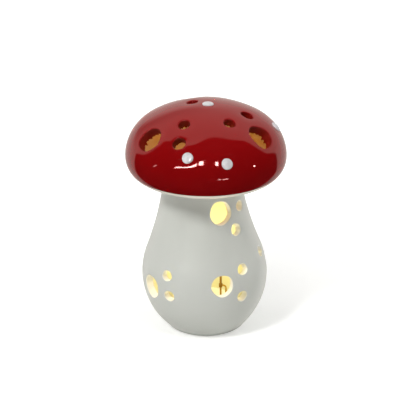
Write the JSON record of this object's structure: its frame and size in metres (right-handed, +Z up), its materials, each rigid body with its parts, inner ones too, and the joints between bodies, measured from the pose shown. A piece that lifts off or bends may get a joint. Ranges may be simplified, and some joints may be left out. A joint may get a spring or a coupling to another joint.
{
  "type": "pierced ceramic mushroom light",
  "caption": "Ceramic mushroom with a red domed cap and a white pear-shaped stem, both pierced by groups of hand-cut holes and lit from inside by a battery unit in the base.",
  "frame": {"origin": "on the table, at the foot, below the axis of the cap", "axes": "+Z up, -Y towards the viewer of the picture, +X to the viewer's right"},
  "size_m": [0.102, 0.102, 0.1517],
  "materials": {
    "white_glaze": "glossy white glaze",
    "red_glaze": "glossy deep red glaze, white inside and below",
    "slip_white": "glossy raised slip",
    "unit_plastic": "fine matt moulded",
    "grip_rubber": "soft translucent",
    "screw_steel": "plated",
    "cell_steel": "brushed",
    "contact_steel": "spring strip",
    "board_green": "solder mask",
    "switch_black": "moulded",
    "resistor_tan": "lacquered",
    "lead_amber": "smooth insulation",
    "sleeve_dark": "shrunk sleeve",
    "lamp_epoxy": "clear epoxy, lit warm"
  },
  "bodies": {
    "shell": {"stem": "white_glaze", "cap": "red_glaze", "cap_dots": "slip_white"},
    "light_unit": {"light_housing": "unit_plastic", "light_cover": "unit_plastic", "grip_ring": "grip_rubber", "side_contact": "contact_steel", "leaf_contact": "contact_steel", "circuit_board": "board_green", "switch_body": "switch_black", "resistor": "resistor_tan", "straight_lead": "lead_amber", "arched_lead": "lead_amber", "lead_sleeve": "sleeve_dark", "lamp": "lamp_epoxy"},
    "door": {"battery_door": "unit_plastic", "door_screw": "screw_steel", "coin_cell": "cell_steel"},
    "slider": {"switch_slider": "switch_black"}
  },
  "joints": [
    {"name": "unit_pull", "type": "slide", "parent": "shell", "child": "light_unit", "axis": [0, 0, -1], "range_m": [0, 0.06]},
    {"name": "door_lift", "type": "slide", "parent": "light_unit", "child": "door", "axis": [0, 0, -1], "range_m": [0, 0.012]},
    {"name": "switch_slide", "type": "slide", "parent": "light_unit", "child": "slider", "axis": [-1, 0, 0], "range_m": [0, 0.002]}
  ]
}
